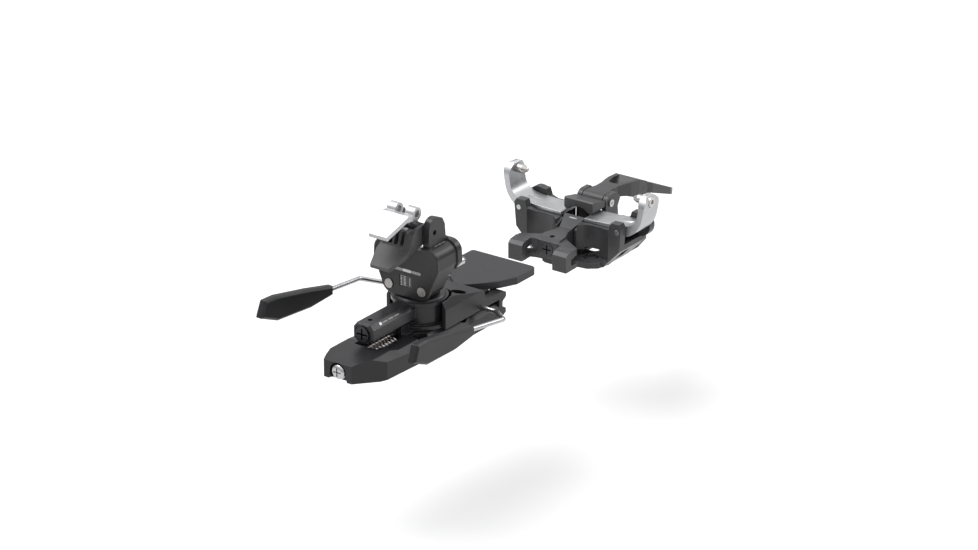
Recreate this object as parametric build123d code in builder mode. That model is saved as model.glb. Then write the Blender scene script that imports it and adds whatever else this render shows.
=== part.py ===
"""Ski touring pin binding: toe piece and heel piece on one ski, in millimetres.

Frame: x to the right, y to the ski tip, z up. z = 0 is the ski's top face, x = 0 its centre
line and y = 0 the line of the toe pins. The toe wings stand open, the brake is stowed and the
heel turret points forward.
"""
import math
import os
from build123d import *

os.makedirs("parts", exist_ok=True)

# ---- driving dimensions ----------------------------------------------------------------
RUN = 0.06                      # radial play of a part that turns on or in another
GAP = 0.35                      # air between bodies that pass each other
SIDES = ((-1, "left"), (1, "right"))

# toe piece
PIN_HEIGHT = 42.8               # toe pin axis above the ski
PIN_TIP_X = 37.8                # half the distance between the open pins' tips
WING_HINGE = (34.9, 24.3)       # x, z of a wing's hinge
WING_HALF = 8.0                 # half the width of a wing, along y
EAR_FACE = 13.7                 # outer face of the hinge ears
PLATE_T = 3.8                   # toe plate thickness
TOE_SCREW_X = 16.0
TOE_SCREW_REAR = -12.0
TOE_SCREW_FRONT = 36.0
LEVER_HINGE = (16.4, 27.7)      # y, z of the toe lever's hinge
LEVER_PIN_R = 1.6
TRIGGER_HALF = 10.2
TOE_SPRING_Y = -2.6
TOE_SPRING_Z = 10.2

# heel piece
TOWER_Y = -160.0                # turning axis of the heel turret
TOWER_R = 15.0
TOWER_TOP = 30.0
BASE_TOP = 12.8
BASE_REAR = -236.0
BASE_FRONT = -112.0
NOSE_WALL = -211.0              # front wall of the nose that holds the length screw
SCREW_Z = 7.9                   # axis of the length screw
LENGTH_TRAVEL = 22.0
HEEL_SCREW_X = 14.5
HEEL_SCREW_FRONT = -143.0
HEEL_SCREW_REAR = -179.0
BARREL_END = -213.0
BARREL_Z = 22.4
COVER_Y = -173.3                # rear face of the turret's cover
COVER_T = 1.8
TURRET_FRONT = -149.0
HEEL_PIN_X = 13.5
HEEL_PIN_Z = 44.2
EAR_HINGE = (-166.0, 70.8)      # y, z of the riser flaps' hinge
TROUGH_Z = 51.0                 # floor of the turret's top trough

# brake
BRAKE_AXIS = (-130.0, 14.5)     # y, z of the brake arms' axis
WIRE_R = 1.4
PEDAL_TOP = 22.2
PEDAL_T = 4.6
PEDAL_HINGE = (-119.5, 13.6)    # y, z


def rod(radius, start, end, plane, mode=Mode.ADD):
    """A straight cylinder between two heights over a plane."""
    with BuildSketch(plane.offset(start)) as disc:
        Circle(radius)
    extrude(disc.sketch, amount=end - start, mode=mode)


def along_x(y, z):
    """A plane whose normal is +x and whose origin is at y, z."""
    return Plane(origin=(0, y, z), x_dir=(0, 1, 0), z_dir=(1, 0, 0))


def along_y(x, z):
    """A plane whose normal is +y and whose origin is at x, z."""
    return Plane(origin=(x, 0, z), x_dir=(-1, 0, 0), z_dir=(0, 1, 0))


def along_z(x, y):
    """A plane whose normal is +z and whose origin is at x, y."""
    return Plane(origin=(x, y, 0), x_dir=(1, 0, 0), z_dir=(0, 0, 1))


def cross_recess(plane, height, reach, depth):
    """A cross-shaped driver recess, cut down from a height over a plane."""
    width = reach * 0.30
    with BuildSketch(plane.offset(height)) as cross:
        Rectangle(2 * reach, width)
        Rectangle(width, 2 * reach)
    extrude(cross.sketch, amount=-depth, mode=Mode.SUBTRACT)


def coil(plane, start, end, mean_r, wire_r, turns):
    """A round-wire coil spring between two heights over a plane."""
    length = end - start - 2 * wire_r
    with BuildLine() as turn:
        Helix(pitch=length / turns, height=length, radius=mean_r)
    path = turn.line.moved(plane.offset(start + wire_r).location)
    with BuildSketch(Plane(origin=path @ 0, z_dir=path % 0)) as wire:
        Circle(wire_r)
    sweep(wire.sketch, path=path)


# ======================================================================================
# TOE PIECE
# ======================================================================================

# ---- toe base: plate, hinge ears, hollowed walls, spine, crampon hooks ----------------
SPINE_TOP = ((-5.4, 24.5), (-15.4, 19.8), (-30.5, 18.9), (-34.6, 17.6))
BRACKET_REAR = 11.3
CAVITY = WING_HALF + 0.7

with BuildPart() as toe_base:
    # plate on the ski, open under the wings and under the lever
    with BuildSketch():
        with BuildLine():
            Polyline((0, -26), (9, -26), (13, -21.5), (19, -20.8), (24.3, -16.5), (26, -8),
                     (25, 2), (25, 25), (21.5, 39), (16.5, 46), (12, 48), (0, 48))
            mirror(about=Plane.YZ)
        make_face()
        with Locations((0, 2.6)):
            RectangleRounded(28, 11.6, 3, mode=Mode.SUBTRACT)
        with Locations((0, 35)):
            RectangleRounded(17, 17, 4, mode=Mode.SUBTRACT)
    extrude(amount=PLATE_T)
    # hinge ears in front of and behind each wing
    for side, _ in SIDES:
        with BuildSketch(Plane.XZ.offset(-CAVITY)):
            with Locations((side * 36.2, 22.6)):
                Circle(7.4)
        extrude(amount=-(EAR_FACE - CAVITY))
        for ear_start in (-EAR_FACE, CAVITY):
            with BuildSketch(Plane.XZ.offset(-ear_start)):
                with BuildLine():
                    Polyline((side * 21, 0), (side * 25.5, 0), (side * 31, 6), (side * 36.8, 12.2),
                             (side * 38.2, 27), (side * 36.6, 29.6), (side * 30.7, 29.4),
                             (side * 29.2, 24.8), (side * 25, 23.4), (side * 21, 23.4), close=True)
                make_face()
            extrude(amount=-(EAR_FACE - CAVITY))
        # outer rail that ties the two ears together under the wing
        with BuildSketch(Plane.XZ.offset(-CAVITY - 1)):
            with BuildLine():
                Polyline((side * 24, 0), (side * 25.5, 0), (side * 31, 6), (side * 36.8, 12.2),
                         (side * 37, 15.5), (side * 35, 15.5), (side * 34.4, 11), (side * 29.4, 4.6),
                         (side * 24, PLATE_T), close=True)
            make_face()
        extrude(amount=2 * CAVITY + 2)
        # wall behind the wing, later hollowed from the rear
        with Locations((side * 14.5, (-CAVITY - 15.2) / 2, 15.4)):
            Box(16.5, 15.2 - CAVITY, 16)
        # plain wall in front of the wing
        with Locations((side * 18.2, CAVITY + 1.3, 12)):
            Box(14.6, 2.6, 22.8)
        # window in the rail, where the wing's spring lug swings out
        with Locations((side * 29, -2.2, 9.8)):
            Box(10.4, 7.8, 12, mode=Mode.SUBTRACT)
    # spine from the trigger to the rear boss, seen from above and from the side
    with BuildSketch():
        with BuildLine():
            Polyline((0, -5.4), (7.6, -5.4), (5.8, -10), (4.3, -15.4), (4.6, -20), (7.2, -26),
                     (7.2, -34.6), (0, -34.6))
            mirror(about=Plane.YZ)
        make_face()
    extrude(amount=30, mode=Mode.ADD)
    with BuildSketch(Plane.YZ):
        with BuildLine():
            Polyline((SPINE_TOP[0][0] + 1, SPINE_TOP[0][1] + 0.5), *SPINE_TOP, (-40, 17.6), (-40, 32),
                     (-4.4, 32), close=True)
        make_face()
    extrude(amount=7.7, both=True, mode=Mode.SUBTRACT)
    with BuildSketch(Plane.YZ):
        with BuildLine():
            Polyline((-5, -1), (-5, 9), (-14, 13.5), (-22, 8.5), (-24, -1), close=True)
        make_face()
    extrude(amount=2.8, both=True, mode=Mode.SUBTRACT)
    with BuildSketch(Plane.YZ):
        Polygon((-27, -1), (-27, 3.4), (-31, 7), (-36, 7), (-36, -1), align=None)
    extrude(amount=8, both=True, mode=Mode.SUBTRACT)
    # hollow the two rear walls with upright cylinders
    for side, _ in SIDES:
        with BuildSketch(Plane.XY.offset(PLATE_T)):
            with Locations((side * 18.9, -16.6)):
                Ellipse(11.4, 6.5)
            with Locations((side * 18.9, -24.6)):
                Rectangle(22.8, 16)
            with BuildLine():
                Polyline((0, -60), (side * 8.2, -60), (side * 8.2, -26), (side * 5.2, -20),
                         (side * 5.0, -15.4), (side * 6.6, -10), (0, -5), close=True)
            make_face(mode=Mode.SUBTRACT)
        extrude(amount=24, mode=Mode.SUBTRACT)
    # fork of two upper and two lower fingers out to the crampon hooks
    for side, _ in SIDES:
        for finger_z, finger_t in ((13.4, 4.4), (5.6, 2.8)):
            with BuildSketch(Plane.XY.offset(finger_z)):
                with BuildLine():
                    Polyline((side * 3, -34), (side * 3, -27.5), (side * 8, -26), (side * 20.4, -33.5),
                             (side * 20.4, -40), (side * 11, -40), (side * 11, -35.5),
                             (side * 7, -34.4), close=True)
                make_face()
            extrude(amount=finger_t)
        with BuildSketch(Plane.YZ.offset(side * 15.7)):
            with BuildLine():
                Polyline((-44.8, 5.6), (-44.8, 15.4), (-42.6, 17.2), (-36.4, 18.0), (-36.4, 13.2),
                         (-39.4, 12.6), (-39.4, 5.6), close=True)
            make_face()
        extrude(amount=4.9, both=True)
    # guide for the trigger's stem, and the bracket that carries the lever
    with Locations((0, 4.5, 9)):
        Box(7.6, 8.4, 14.2)
    with Locations((0, 4.5, 2)):
        Box(7.6, 16, 4)
    for side, _ in SIDES:
        with BuildSketch(Plane.YZ.offset(side * 9.1)):
            with BuildLine():
                start = Line((BRACKET_REAR, 0), (BRACKET_REAR, 27.5))
                top = ThreePointArc(start @ 1, (13.4, 31.6), (17.4, 32.8))
                Polyline(top @ 1, (22.4, 32.8), (26.8, 28.6), (24.0, 23.4), (25.4, 10), (30, PLATE_T),
                         (30, 0), start @ 0)
            make_face()
        extrude(amount=1.5, both=True)
    with Locations((0, 18, 7)):
        Box(19, 5, 9)
    # holes
    with BuildSketch(Plane.XY.offset(-1)):
        with Locations((0, 4.5)):
            Rectangle(4.4 + 2 * RUN, 5.0 + 2 * RUN)
    extrude(amount=20, mode=Mode.SUBTRACT)
    for side, _ in SIDES:
        rod(1.5, -20, 20, along_y(side * WING_HINGE[0], WING_HINGE[1]), Mode.SUBTRACT)
        for screw_y in (TOE_SCREW_REAR, TOE_SCREW_FRONT):
            spot = along_z(side * TOE_SCREW_X, screw_y)
            rod(2.75, -1, 6, spot, Mode.SUBTRACT)
            rod(5.0, PLATE_T - 1.4, 9, spot, Mode.SUBTRACT)
    rod(LEVER_PIN_R + RUN, -12, 12, along_x(*LEVER_HINGE), Mode.SUBTRACT)
    rod(4.4, -40, -31.4, along_y(0, 12.4), Mode.SUBTRACT)
    rod(3.0, -32, -24.5, along_y(0, 12.4), Mode.SUBTRACT)
    rod(1.7, 14, 22, along_z(0, -29), Mode.SUBTRACT)
toe_base.part.label = "toe_base"
export_step(toe_base.part, "parts/toe_base.step")

# ---- wings: bent light-alloy arms whose inner ends meet under the trigger -------------
with BuildPart() as wing_right:
    with BuildSketch(Plane.XZ):
        with BuildLine():
            inner = Line((8.4, 23.4), (8.4, 25.5))
            arm_top = Spline(inner @ 1, (19.3, 25.7), (31, 26.2), (38.6, 27.4), (43.6, 30.6),
                             (45.4, 36), (45.9, 41), tangents=((1, 0), (0, 1)))
            head = Polyline(arm_top @ 1, (45.2, 46.4), (46.4, 47.3), (48.6, 46.8), (50.5, 43.6))
            back = Spline(head @ 1, (49.4, 37), (48.0, 31), (44.6, 25.2), (39.4, 21.2), (34.9, 20.3),
                          tangents=((-0.2, -1), (-1, 0)))
            Polyline(back @ 1, (26.5, 20.9), (26.3, 8.9), (22.2, 8.9), (22.0, 21.6), inner @ 0)
        make_face()
    extrude(amount=WING_HALF, both=True)
    # the head is round seen from the side, the spring lug is narrow
    with BuildSketch(Plane.YZ.offset(40)):
        with Locations((0, 48)):
            Rectangle(20, 20)
        with Locations((0, 39.4)):
            Circle(WING_HALF, mode=Mode.SUBTRACT)
        with Locations((0, 36)):
            Rectangle(18, 8, mode=Mode.SUBTRACT)
    extrude(amount=14, mode=Mode.SUBTRACT)
    for lug_start, lug_end in ((-9, -5.5), (1.1, 9)):
        with Locations((24, (lug_start + lug_end) / 2, 14.2)):
            Box(6, lug_end - lug_start, 12.4, mode=Mode.SUBTRACT)
    # the arm's top is hollowed a little along its whole length
    with BuildSketch(Plane.YZ.offset(8)):
        with Locations((0, 70)):
            Ellipse(9.5, 44)
    extrude(amount=29, mode=Mode.SUBTRACT)
    rod(1.5 + RUN, -20, 20, along_y(*WING_HINGE), Mode.SUBTRACT)
    rod(2.4, 30, 60, along_x(0, PIN_HEIGHT), Mode.SUBTRACT)
    rod(2.85, 30, 45.85, along_x(0, PIN_HEIGHT), Mode.SUBTRACT)
    rod(3.4, 49.2, 60, along_x(0, PIN_HEIGHT), Mode.SUBTRACT)
wing_right.part.label = "wing_right"
export_step(wing_right.part, "parts/wing_right.step")

with BuildPart() as wing_left:
    mirror(wing_right.part, about=Plane.YZ)
wing_left.part.label = "wing_left"
export_step(wing_left.part, "parts/wing_left.step")

# ---- toe pins: hardened steel, riveted through the wing heads -------------------------
for side, word in SIDES:
    with BuildPart() as toe_pin:
        with BuildSketch(Plane.XZ):
            with BuildLine():
                Polyline((side * PIN_TIP_X, PIN_HEIGHT), (side * PIN_TIP_X, PIN_HEIGHT + 0.9),
                         (side * (PIN_TIP_X + 0.6), PIN_HEIGHT + 1.5),
                         (side * (PIN_TIP_X + 3.4), PIN_HEIGHT + 2.8),
                         (side * 45.8, PIN_HEIGHT + 2.8), (side * 45.8, PIN_HEIGHT + 2.4),
                         (side * 49.2, PIN_HEIGHT + 2.4), (side * 49.2, PIN_HEIGHT + 3.4),
                         (side * 50.6, PIN_HEIGHT + 3.1), (side * 50.6, PIN_HEIGHT), close=True)
            make_face()
        revolve(axis=Axis((0, 0, PIN_HEIGHT), (1, 0, 0)))
        with BuildSketch(along_x(0, PIN_HEIGHT).offset(side * 50.7)):
            RegularPolygon(1.5, 6)
        extrude(amount=-side * 1.0, mode=Mode.SUBTRACT)
    toe_pin.part.label = f"toe_pin_{word}"
    export_step(toe_pin.part, f"parts/toe_pin_{word}.step")

with BuildPart() as wing_hinge_pins:
    for side, _ in SIDES:
        rod(1.5, -EAR_FACE - 0.2, EAR_FACE + 0.2, along_y(side * WING_HINGE[0], WING_HINGE[1]))
wing_hinge_pins.part.label = "wing_hinge_pins"
export_step(wing_hinge_pins.part, "parts/wing_hinge_pins.step")

# ---- closing spring between the wings' lugs, on its guide rod -------------------------
with BuildPart() as toe_spring:
    coil(along_x(TOE_SPRING_Y, TOE_SPRING_Z), -21.8, 21.8, 1.5, 0.45, 24)
toe_spring.part.label = "toe_spring"
export_step(toe_spring.part, "parts/toe_spring.step")

with BuildPart() as toe_spring_rod:
    rod(0.9, -20.5, 20.5, along_x(TOE_SPRING_Y, TOE_SPRING_Z))
toe_spring_rod.part.label = "toe_spring_rod"
export_step(toe_spring_rod.part, "parts/toe_spring_rod.step")

# ---- trigger: the bridge that the boot sole presses down on the wings -----------------
with BuildPart() as toe_trigger:
    with BuildSketch(Plane.YZ):
        with BuildLine():
            Polyline((-2, 25.75), (-2, 32.6), (-1.2, 33.2), (9.8, 30.8), (10.7, 30), (10.7, 25.75),
                     close=True)
        make_face()
    extrude(amount=TRIGGER_HALF, both=True)
    with BuildSketch(Plane.XZ):
        with Locations((0, 19.4)):
            Circle(9.4)
    extrude(amount=20, both=True, mode=Mode.SUBTRACT)
    chamfer(toe_trigger.edges().filter_by(Axis.Y).group_by(Axis.Z)[-1], 1.2)
    with Locations((0, 4.5, 20.5)):
        Box(4.4, 5.0, 18)
toe_trigger.part.label = "toe_trigger"
export_step(toe_trigger.part, "parts/toe_trigger.step")

# ---- lever: opens the wings when its tip is pushed down -------------------------------
with BuildPart() as toe_lever:
    with BuildSketch(Plane.YZ):
        with BuildLine():
            boss = ThreePointArc((LEVER_HINGE[0] + 1, LEVER_HINGE[1] + 4.9),
                                 (LEVER_HINGE[0] - 5, LEVER_HINGE[1]),
                                 (LEVER_HINGE[0] + 1, LEVER_HINGE[1] - 4.9))
            Polyline(boss @ 1, (26, 24.4), (33, 25.4), (38, 24.2), (46, 21.2), (58.6, 19.6),
                     (58.6, 27.6), (51, 31.2), (37, 32.4), (25, 32.6), boss @ 0)
        make_face()
    extrude(amount=10, both=True)
    # waisted neck that widens to the elbow
    with BuildSketch(Plane.XY.offset(10)):
        with BuildLine():
            Polyline((0, 8), (7.2, 8), (6.9, 19), (5.6, 24.5), (5.9, 31), (8.2, 42), (8.8, 50),
                     (8.6, 58.6), (0, 58.6))
            mirror(about=Plane.YZ)
        make_face()
    extrude(amount=30, mode=Mode.INTERSECT)
    # three-cornered opening with a ramp at its front, and a notch over the tip's joint
    with BuildSketch(Plane.XY.offset(10)):
        with BuildLine():
            Polyline((0, 33.6), (3.2, 34.4), (5.6, 42.6), (0, 42.6))
            mirror(about=Plane.YZ)
        make_face()
    extrude(amount=30, mode=Mode.SUBTRACT)
    with BuildSketch(Plane.YZ):
        Polygon((42.5, 40), (42.5, 25.4), (50.2, 31.1), (51, 40), align=None)
    extrude(amount=5.9, both=True, mode=Mode.SUBTRACT)
    with Locations((0, 56.8, 30)):
        Box(6.4, 3.8, 6, mode=Mode.SUBTRACT)
    rod(LEVER_PIN_R, -15, 15, along_x(*LEVER_HINGE), Mode.SUBTRACT)
    rod(1.3, -15, 15, along_x(54.5, 24.6), Mode.SUBTRACT)
toe_lever.part.label = "toe_lever"
export_step(toe_lever.part, "parts/toe_lever.step")

with BuildPart() as toe_lever_tip:
    with BuildSketch(Plane.YZ):
        with BuildLine():
            Polyline((58.6, 27.0), (58.6, 19.8), (63, 18.6), (88, 9.4), (89, 13.2), (62, 25.6),
                     close=True)
        make_face()
    extrude(amount=9.2, both=True)
    with BuildSketch(Plane.XY):
        with BuildLine():
            Polyline((0, 58.6), (8.4, 58.6), (9.2, 64), (9.2, 84), (7.4, 89), (3, 89), (0, 86.6))
            mirror(about=Plane.YZ)
        make_face()
    extrude(amount=30, mode=Mode.INTERSECT)
toe_lever_tip.part.label = "toe_lever_tip"
export_step(toe_lever_tip.part, "parts/toe_lever_tip.step")

with BuildPart() as toe_lever_pin:
    rod(LEVER_PIN_R, -11.5, 11.5, along_x(*LEVER_HINGE))
    for start in (-11.5, 10.6 + RUN):
        rod(2.3, start, start + 0.9 - RUN, along_x(*LEVER_HINGE))
    for side, _ in SIDES:
        cross_recess(along_x(*LEVER_HINGE), side * 11.5, 1.2, side * 0.5)
toe_lever_pin.part.label = "toe_lever_pin"
export_step(toe_lever_pin.part, "parts/toe_lever_pin.step")

with BuildPart() as lever_tip_pins:
    rod(1.3, -8.7, -5, along_x(54.5, 24.6))
    rod(1.3, 5, 8.7, along_x(54.5, 24.6))
lever_tip_pins.part.label = "lever_tip_pins"
export_step(lever_tip_pins.part, "parts/lever_tip_pins.step")

with BuildPart() as toe_boss_screw:
    rod(4.3, -34.9, -31.5, along_y(0, 12.4))
    rod(2.9, -31.5, -25, along_y(0, 12.4))
    cross_recess(along_y(0, 12.4), -34.9, 2.9, -1.8)
toe_boss_screw.part.label = "toe_boss_screw"
export_step(toe_boss_screw.part, "parts/toe_boss_screw.step")

# ======================================================================================
# HEEL PIECE
# ======================================================================================
SLIDE_Z = (4.1, 7.0)            # foot of the slider in the base's grooves
SLIDE_HALF = 9.7
NECK_HALF = 7.3
SPRING_R = 3.7                  # mean radius of the thrust spring round the length screw
SPRING_WIRE = 0.65

# ---- heel base: track plate with a nose that holds the length screw -------------------
with BuildPart() as heel_base:
    with BuildSketch():
        with BuildLine():
            Polyline((0, BASE_REAR), (9.6, BASE_REAR), (18, -214.5), (19.4, -189),
                     (20.8, -166), (20.8, BASE_FRONT), (0, BASE_FRONT))
            mirror(about=Plane.YZ)
        make_face()
    extrude(amount=14.2)
    # the top steps down in front of the spring window, the nose rises off the ski
    with BuildSketch(Plane.YZ):
        Polygon((-240, 12.6), (-232, 14.2), (-207, 14.2), (-201, BASE_TOP), (-100, BASE_TOP),
                (-100, 20), (-240, 20), align=None)
        Polygon((-218, -0.1), (-240, -0.1), (-240, 3.6), (BASE_REAR, 3.0), align=None)
    extrude(amount=25, both=True, mode=Mode.SUBTRACT)
    # slanted flanks, steeper beside the nose
    for side, _ in SIDES:
        with BuildSketch(Plane.XZ.offset(-BASE_FRONT - 5)):
            Polygon((side * 21.5, 7.0), (side * 14.0, 14.6), (side * 21.5, 14.6), align=None)
        extrude(amount=130, mode=Mode.SUBTRACT)
    # nose tip: arched notch round the screw head, flared towards the ski
    rod(5.5, BASE_REAR - 2, BASE_REAR + 3.2, along_y(0, SCREW_Z), Mode.SUBTRACT)
    with BuildSketch(Plane.XZ.offset(-BASE_REAR - 3.2)):
        Polygon((-5.4, 8), (5.4, 8), (6.6, 0), (-6.6, 0), align=None)
    extrude(amount=6, mode=Mode.SUBTRACT)
    rod(2.5 + RUN, BASE_REAR, NOSE_WALL + 5, along_y(0, SCREW_Z), Mode.SUBTRACT)
    # channel and undercut grooves for the slider
    channel_mid = (NOSE_WALL + BASE_FRONT) / 2
    channel_len = BASE_FRONT - NOSE_WALL
    with Locations((0, channel_mid + 5, 13)):
        Box(2 * NECK_HALF + 0.3, channel_len + 10, 20, mode=Mode.SUBTRACT)
    with Locations((0, channel_mid + 5, (SLIDE_Z[0] + SLIDE_Z[1]) / 2)):
        Box(2 * SLIDE_HALF + 0.2, channel_len + 10, SLIDE_Z[1] - SLIDE_Z[0] + 0.2, mode=Mode.SUBTRACT)
    for y in (-200, -176, -126):
        with BuildSketch(Plane.XY.offset(-1)):
            with Locations((0, y)):
                SlotOverall(15, 8, rotation=90)
        extrude(amount=6, mode=Mode.SUBTRACT)
    # pockets for the brake hub and the pedal's eyes
    rod(5.8, -12.2, 12.2, along_x(*BRAKE_AXIS), Mode.SUBTRACT)
    with Locations((0, PEDAL_HINGE[0] + 2, 16)):
        Box(38.4, 12, 12, mode=Mode.SUBTRACT)
    # screw seats
    for side, _ in SIDES:
        for screw_y in (HEEL_SCREW_REAR, HEEL_SCREW_FRONT):
            spot = along_z(side * HEEL_SCREW_X, screw_y)
            rod(2.75, -1, 15, spot, Mode.SUBTRACT)
            rod(4.4, 8.4, 16, spot, Mode.SUBTRACT)
heel_base.part.label = "heel_base"
export_step(heel_base.part, "parts/heel_base.step")

# ---- length screw with its circlip, and the thrust spring round it --------------------
SCREW_HEAD_Y = BASE_REAR - 0.6
with BuildPart() as length_screw:
    with BuildSketch(Plane.YZ):
        with BuildLine():
            face = Line((SCREW_HEAD_Y - 0.2, SCREW_Z), (SCREW_HEAD_Y - 0.2, SCREW_Z + 2.4))
            dome = ThreePointArc(face @ 1, (SCREW_HEAD_Y + 0.9, SCREW_Z + 4.2),
                                 (SCREW_HEAD_Y + 2.2, SCREW_Z + 4.6))
            Polyline(dome @ 1, (BASE_REAR + 3.1, SCREW_Z + 4.6), (BASE_REAR + 3.1, SCREW_Z + 2.5),
                     (NOSE_WALL + 1, SCREW_Z + 2.5), (NOSE_WALL + 1.4, SCREW_Z + 2.2),
                     (-144.5, SCREW_Z + 2.2), (-144, SCREW_Z + 1.7), (-144, SCREW_Z), face @ 0)
        make_face()
    revolve(axis=Axis((0, 0, SCREW_Z), (0, 1, 0)))
    cross_recess(along_y(0, SCREW_Z), SCREW_HEAD_Y - 0.2, 2.6, -2.0)
length_screw.part.label = "length_screw"
export_step(length_screw.part, "parts/length_screw.step")

with BuildPart() as thrust_spring:
    coil(along_y(0, SCREW_Z), NOSE_WALL + 0.1, -184.5, SPRING_R, SPRING_WIRE, 9)
thrust_spring.part.label = "thrust_spring"
export_step(thrust_spring.part, "parts/thrust_spring.step")

# ---- slider and tower in one casting: foot, flange, tower, release barrel -------------
with BuildPart() as tower:
    foot_len = 42.0
    foot_mid = -184 + foot_len / 2
    with Locations((0, foot_mid, (SLIDE_Z[0] + SLIDE_Z[1]) / 2)):
        Box(2 * SLIDE_HALF, foot_len, SLIDE_Z[1] - SLIDE_Z[0])
    neck_top = BASE_TOP + 0.3
    with Locations((0, foot_mid - 2, (SLIDE_Z[0] + neck_top) / 2)):
        Box(2 * NECK_HALF, foot_len - 4, neck_top - SLIDE_Z[0])
    turning = along_z(0, TOWER_Y)
    rod(17.8, BASE_TOP + 0.25, BASE_TOP + 2.4, turning)
    rod(TOWER_R, BASE_TOP + 0.25, TOWER_TOP, turning)
    rod(16.3, TOWER_TOP - 3.2, TOWER_TOP - 1.4, turning)
    chamfer(tower.edges().filter_by(GeomType.CIRCLE).group_by(Axis.Z)[-1], 0.8)
    # barrel: a tube with flat top and cheeks, pointing to the rear
    with BuildSketch(Plane.XZ.offset(-TOWER_Y)):
        with BuildLine():
            Polyline((0, 16.2), (3.4, 16.2), (6.9, 19.6), (6.9, 25.4), (4.3, 28.6), (0, 28.6))
            mirror(about=Plane.YZ)
        make_face()
    extrude(amount=TOWER_Y - BARREL_END)
    chamfer(tower.faces().sort_by(Axis.Y)[0].edges(), 1.0)
    # web between the foot and the barrel
    with Locations((0, -178, 12.5)):
        Box(10, 12, 9)
    # bores: lateral spring, post, length screw with its spring, pocket in the barrel's top
    rod(4.7, BARREL_END - 1, -168, along_y(0, BARREL_Z), Mode.SUBTRACT)
    rod(5.3, BARREL_END - 1, BARREL_END + 7.2, along_y(0, BARREL_Z), Mode.SUBTRACT)
    rod(6.0, 15.0, 31, turning, Mode.SUBTRACT)
    rod(SPRING_R + SPRING_WIRE + 0.3, -190, -160, along_y(0, SCREW_Z), Mode.SUBTRACT)
    rod(4.1, -161, -152, along_y(0, SCREW_Z), Mode.SUBTRACT)
    rod(2.2 + RUN, -153, -130, along_y(0, SCREW_Z), Mode.SUBTRACT)
    rod(1.5, 26, 30, along_z(0, BARREL_END + 7), Mode.SUBTRACT)
tower.part.label = "tower"
export_step(tower.part, "parts/tower.step")

with BuildPart() as turret_post:
    post = along_z(0, TOWER_Y)
    rod(6.0, 15.0, 38.0, post)
    rod(5.3, 38.0, 39.1, post)
    rod(6.0, 39.1, 40.2, post)
    rod(4.6, 40.2, 46.8, post)
    rod(2, 40, 47, post, Mode.SUBTRACT)
turret_post.part.label = "turret_post"
export_step(turret_post.part, "parts/turret_post.step")

with BuildPart() as turret_circlip:
    with BuildSketch(Plane(origin=(0, TOWER_Y, 38.05))):
        Circle(7.4)
        Circle(5.4, mode=Mode.SUBTRACT)
        with Locations((0, 6)):
            Rectangle(5.0, 6, mode=Mode.SUBTRACT)
    extrude(amount=1.0)
turret_circlip.part.label = "turret_circlip"
export_step(turret_circlip.part, "parts/turret_circlip.step")

with BuildPart() as length_nut:
    rod(4.1, -159.9, -152, along_y(0, SCREW_Z))
    rod(2.2 + RUN, -160, -151, along_y(0, SCREW_Z), Mode.SUBTRACT)
length_nut.part.label = "length_nut"
export_step(length_nut.part, "parts/length_nut.step")

# ---- lateral release: spring, piston and adjusting plug in the barrel ------------------
with BuildPart() as lateral_piston:
    rod(4.6, -174, -168.2, along_y(0, BARREL_Z))
    rod(2.4, -182, -174, along_y(0, BARREL_Z))
lateral_piston.part.label = "lateral_piston"
export_step(lateral_piston.part, "parts/lateral_piston.step")

with BuildPart() as lateral_spring:
    coil(along_y(0, BARREL_Z), BARREL_END + 7.4, -174.1, 3.7, 0.8, 10)
lateral_spring.part.label = "lateral_spring"
export_step(lateral_spring.part, "parts/lateral_spring.step")

with BuildPart() as lateral_plug:
    rod(5.3 - RUN, BARREL_END + 0.4, BARREL_END + 7, along_y(0, BARREL_Z))
    rod(4.4, BARREL_END - 0.9, BARREL_END + 0.4, along_y(0, BARREL_Z))
    cross_recess(along_y(0, BARREL_Z), BARREL_END - 0.9, 3.6, -3.0)
lateral_plug.part.label = "lateral_plug"
export_step(lateral_plug.part, "parts/lateral_plug.step")

# ---- heel turret -----------------------------------------------------------------------
BODY_REAR = COVER_Y + COVER_T


def turret_outline(inset):
    """Rear view of the turret: wide rounded shoulders on a foot that narrows downwards."""
    with BuildSketch(Plane.XZ) as outline:
        with BuildLine():
            foot = Line((0, 30.6 + inset), (9.5, 30.6 + inset))
            corner = ThreePointArc(foot @ 1, (14.6 - inset, 32.8 + inset), (17.0 - inset, 37.6))
            flank = Line(corner @ 1, (22.4 - inset, 50.5))
            wall = Line(flank @ 1, (22.0 - inset, 57.0))
            shoulder = ThreePointArc(wall @ 1, (19.8 - inset, 61.2 - inset), (15.6, 63 - inset))
            Line(shoulder @ 1, (0, 63 - inset))
            mirror(about=Plane.YZ)
        make_face()
    return outline.sketch


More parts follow.
